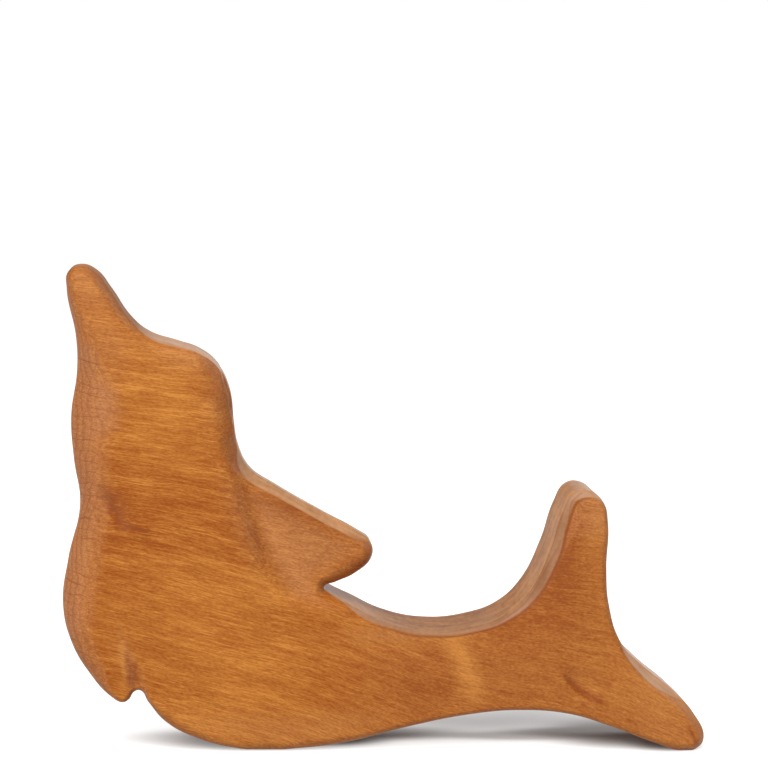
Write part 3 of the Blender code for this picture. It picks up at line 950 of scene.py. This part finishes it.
    look = flatLine
    line = (pastFlat * width).line(look["place"], look["reach"])
    share = line * flat.ramp(*look["flat"]) * (0.0 - facing).ramp(*look["facing"]) * look["strength"]
    colour = share.blend(colour, wood["rimLine"])

    colour.feed(shader.inputs["Base Color"])
    rough = wood["roughness"] + wood["streakRoughness"] * fine - wall * satin
    rough.feed(shader.inputs["Roughness"])
    shader.inputs["IOR"].default_value = wood["refraction"]
    shader.inputs["Specular IOR Level"].default_value = wood["specular"]
    inputs = {"Height": (fine + pore) * wood["bumpHeight"], "Distance": mm, "Strength": wood["bumpStrength"]}
    start.node("ShaderNodeBump", {}, inputs).feed(shader.inputs["Normal"])
    return material


figurine.data.materials.append(woodMaterial())
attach(figurine, "root")
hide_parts("dolphin_body")
print("wood finished")

# In metres and watts, apart from the shadows
studio = {
    "floorSize": 8.0,
    "floorColour": (0.55, 0.55, 0.55, 1.0),
    "floorRoughness": 0.9,
    "floorGlow": 0.80,       # white that only the camera and gloss see, clear of the object's shadow
    "glowInShadow": 0.015,
    # where the shadow lies: each ellipse's middle, its half length along x and along y, all in
    # millimetres, and the share of the glow that it takes away there
    "shadows": [((25.6, 32.5), (32.1, 26.0), 0.73), ((-5.2, 9.0), (25.2, 8.3), 1.0),
                ((33.5, 6.2), (18.6, 5.1), 0.61), ((49.4, 10.5), (19.8, 5.3), 1.0),
                ((66.3, -1.9), (8.4, 8.6), 0.94), ((-12.9, 1.9), (13.7, 7.3), 1.0),
                ((-33.0, 2.4), (23.8, 13.0), 0.78), ((57.3, 10.1), (17.3, 17.1), 1.0)],
    "floorInGloss": 0.85,    # the share of its glow that gloss sees
    "skyLight": 0.17,
    "skyAbove": 0.28,        # more of it from straight above
    # what gloss sees, and the parts of the ray's direction over which one turns into the next
    "skyInGloss": 1.0,       # the white wall behind the object, up to an elevation of about 10 degrees
    "aboveInGloss": 0.26,
    "aboveFrom": (0.03, 0.26),
    "asideInGloss": 0.40,    # the share that is left to the left and right of the object
    "asideMiddle": 0.1,
    "asideFrom": (0.08, 0.65),
    "frontInGloss": 0.22,    # the dark end of the studio, behind the camera
    "front": (0.0, -1.0, -0.5),
    "frontFrom": (-0.1, 0.7),
    "lampTarget": (0.0, 0.0, 0.05),
    "keyPlace": (-0.44, -1.10, 1.10),
    "keySize": (0.9, 1.4),
    "keyPower": 25.6,
    "rimPlace": (1.00, 0.40, 0.80),
    "rimSize": (0.7, 0.7),
    "rimPower": 3.8,
}


# The floor's glow is its full value times 1 - share taken * e ^ -(distance ^ 4) for every ellipse,
# where distance is 1 on the ellipse's own line
def layFloor():
    size = studio["floorSize"] / 2 / mm
    square = np.array([(-size, -size, 0.0), (size, -size, 0.0), (size, size, 0.0), (-size, size, 0.0)])
    floor = addMesh("floor", square, np.array([(0, 1, 2), (0, 2, 3)]))
    material, shader, start = newMaterial("whiteFloor")
    shader.inputs["Base Color"].default_value = studio["floorColour"]
    shader.inputs["Roughness"].default_value = studio["floorRoughness"]
    shader.inputs["Specular IOR Level"].default_value = 0.0
    place = start.node("ShaderNodeTexCoord", {}, {}, "Object")
    clear = 1.0
    for middle, half, taken in studio["shadows"]:
        middle = tuple(value * mm for value in middle) + (0.0,)
        offset = place.node("ShaderNodeVectorMath", {"operation": "SUBTRACT"}, {0: place, 1: middle})
        offset = offset.dividedBy(tuple(value * mm for value in half) + (1.0,))
        squared = offset.dot(offset)
        clear = clear * (1.0 - taken * squared.maths("EXPONENT", 0.0 - squared * squared))
    camera, glossy = start.rays("Camera"), start.rays("Glossy")
    least = studio["glowInShadow"]
    seen = camera.maths("MAXIMUM", camera, glossy * studio["floorInGloss"])
    glow = (least + (studio["floorGlow"] - least) * clear) * seen
    shader.inputs["Emission Strength"].default_value = 1.0
    colour = start.node("ShaderNodeCombineColor", {}, {"Red": glow, "Green": glow, "Blue": glow})
    colour.feed(shader.inputs["Emission Color"])
    floor.data.materials.append(material)


# White to the camera, a softer white as light, and to gloss white low behind the object but
# dimmer above it, to its left and right, and where the camera stands
def lightWorld():
    world = bpy.data.worlds.new("whiteStudio")
    world.use_nodes = True
    tree = world.node_tree
    background = tree.nodes["Background"]
    start = Wire(tree)
    camera, glossy, through = (start.rays(kind) for kind in ("Camera", "Glossy", "Transmission"))
    direction = start.node("ShaderNodeTexCoord", {}, {}, "Generated")
    height = direction.part("Z")
    behind, front = studio["skyInGloss"], studio["frontInGloss"]
    inGloss = behind + (studio["aboveInGloss"] - behind) * height.ramp(*studio["aboveFrom"])
    aside = direction.part("X") - studio["asideMiddle"]
    aside = aside.maths("ABSOLUTE", aside).ramp(*studio["asideFrom"])
    inGloss = inGloss * (1.0 - (1.0 - studio["asideInGloss"]) * aside)
    inGloss = inGloss + (front - inGloss) * direction.dot(studio["front"]).ramp(*studio["frontFrom"])
    seen = glossy.maths("MAXIMUM", glossy, through)
    sky = studio["skyLight"] + studio["skyAbove"] * height.maths("MAXIMUM", height, 0.0)
    level = sky + (inGloss - sky) * seen
    level = level + (1.0 - level) * camera
    level.feed(background.inputs["Strength"])
    background.inputs["Color"].default_value = (1.0, 1.0, 1.0, 1.0)
    bpy.context.scene.world = world


# At the place, with its own -Z axis towards the target
def aim(obj, place, target):
    obj.location = place
    obj.rotation_euler = (Vector(target) - Vector(place)).to_track_quat("-Z", "Y").to_euler()


# A soft rectangular lamp that faces the object
def hangLight(name, place, size, power):
    lamp = bpy.data.lights.new(name, "AREA")
    lamp.shape = "RECTANGLE"
    lamp.size, lamp.size_y = size
    lamp.energy = power
    light = bpy.data.objects.new(name, lamp)
    bpy.context.scene.collection.objects.link(light)
    aim(light, place, studio["lampTarget"])


view = {
    "place": (-0.0469, -0.6476, 0.1441),
    "lens": 130.8,           # millimetres, as is the sensor's width
    "sensor": 36.0,
    "nearest": 0.01,         # nothing closer is drawn
    "turn": -4.05,           # degrees from looking along +Y, less than 0 to the right
    "tip": -5.22,            # degrees from level, less than 0 downwards
    "roll": 0.97,
}


# Rolled about its own line of sight, tipped up from looking straight down, then turned about
# the upright axis
def placeCamera():
    lens = bpy.data.cameras.new("photoView")
    lens.sensor_width = view["sensor"]
    lens.lens = view["lens"]
    lens.clip_start = view["nearest"]
    camera = bpy.data.objects.new("photoView", lens)
    bpy.context.scene.collection.objects.link(camera)
    turned = (
        Matrix.Rotation(math.radians(view["turn"]), 4, "Z")
        @ Matrix.Rotation(math.radians(90.0 + view["tip"]), 4, "X")
        @ Matrix.Rotation(math.radians(view["roll"]), 4, "Z")
    )
    camera.matrix_world = Matrix.Translation(view["place"]) @ turned
    bpy.context.scene.camera = camera


layFloor()
lightWorld()
hangLight("softKey", studio["keyPlace"], studio["keySize"], studio["keyPower"])
hangLight("edgeLight", studio["rimPlace"], studio["rimSize"], studio["rimPower"])
placeCamera()
bpy.context.scene.view_settings.view_transform = "Standard"
print("studio set")
